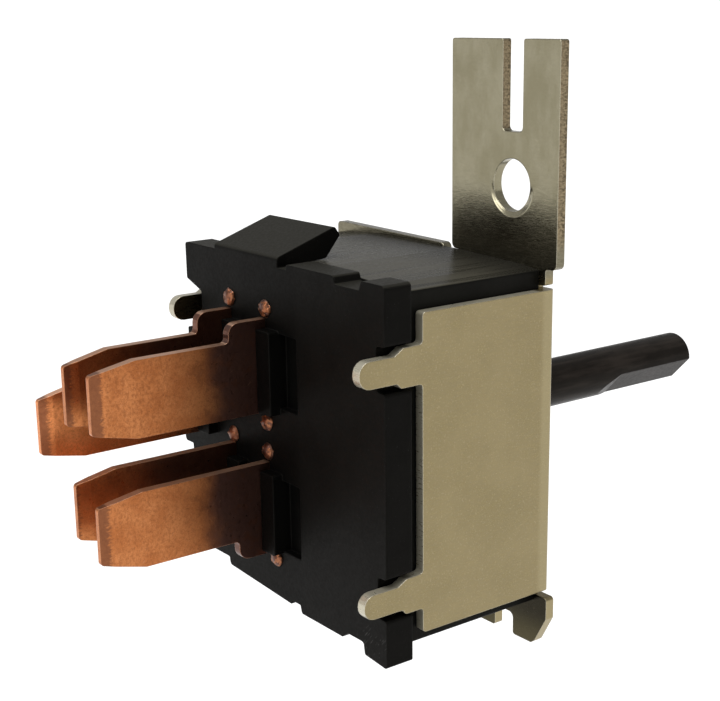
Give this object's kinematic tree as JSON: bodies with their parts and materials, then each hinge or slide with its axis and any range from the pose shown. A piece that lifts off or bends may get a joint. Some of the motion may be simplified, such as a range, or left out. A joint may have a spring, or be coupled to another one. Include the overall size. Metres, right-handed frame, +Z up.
{
  "type": "blower control switch",
  "caption": "Rotary blower switch: black moulded body in a folded steel bracket with a slotted ear, a flatted control shaft in front and copper blade terminals behind.",
  "frame": {"origin": "on the shaft axis, at the front face of the bracket's plate", "axes": "+Z up towards the mounting ear, +Y to the rear where the blades are, -Y along the shaft to the knob, +X across"},
  "size_m": [0.0307, 0.0644, 0.0501],
  "materials": {
    "plated_steel": "satin, zinc or nickel plated sheet with sheared edges",
    "black_housing": "matte moulded, fine flow streaks on top",
    "black_board": "matte moulded",
    "black_shaft": "satin moulded",
    "copper": "bare stamped copper, fine speckle",
    "contact_silver": "satin",
    "spring_steel": "drawn wire",
    "ball_steel": "polished"
  },
  "bodies": {
    "switch_body": {"bracket": "plated_steel", "housing": "black_housing", "terminal_board": "black_board", "thrust_washer": "spring_steel", "terminal_upper_inner": "copper", "terminal_upper_outer": "copper", "terminal_side": "copper", "terminal_lower_outer": "copper", "terminal_lower_inner": "copper", "contact_upper_inner": "contact_silver", "contact_upper_outer": "contact_silver", "contact_side": "contact_silver", "contact_lower_outer": "contact_silver", "contact_lower_inner": "contact_silver"},
    "rotor": {"rotor_shaft": "black_shaft", "contact_bridge": "copper", "contact_spring_side": "spring_steel", "contact_spring_upper": "spring_steel", "contact_spring_lower": "spring_steel", "detent_ball_upper": "ball_steel", "detent_ball_lower": "ball_steel", "detent_spring_upper": "spring_steel", "detent_spring_lower": "spring_steel"}
  },
  "joints": [
    {"name": "shaft_turn", "type": "hinge", "parent": "switch_body", "child": "rotor", "pos_m": [0, 0, 0], "axis": [0, 1, 0], "range_deg": [0, 120]}
  ]
}
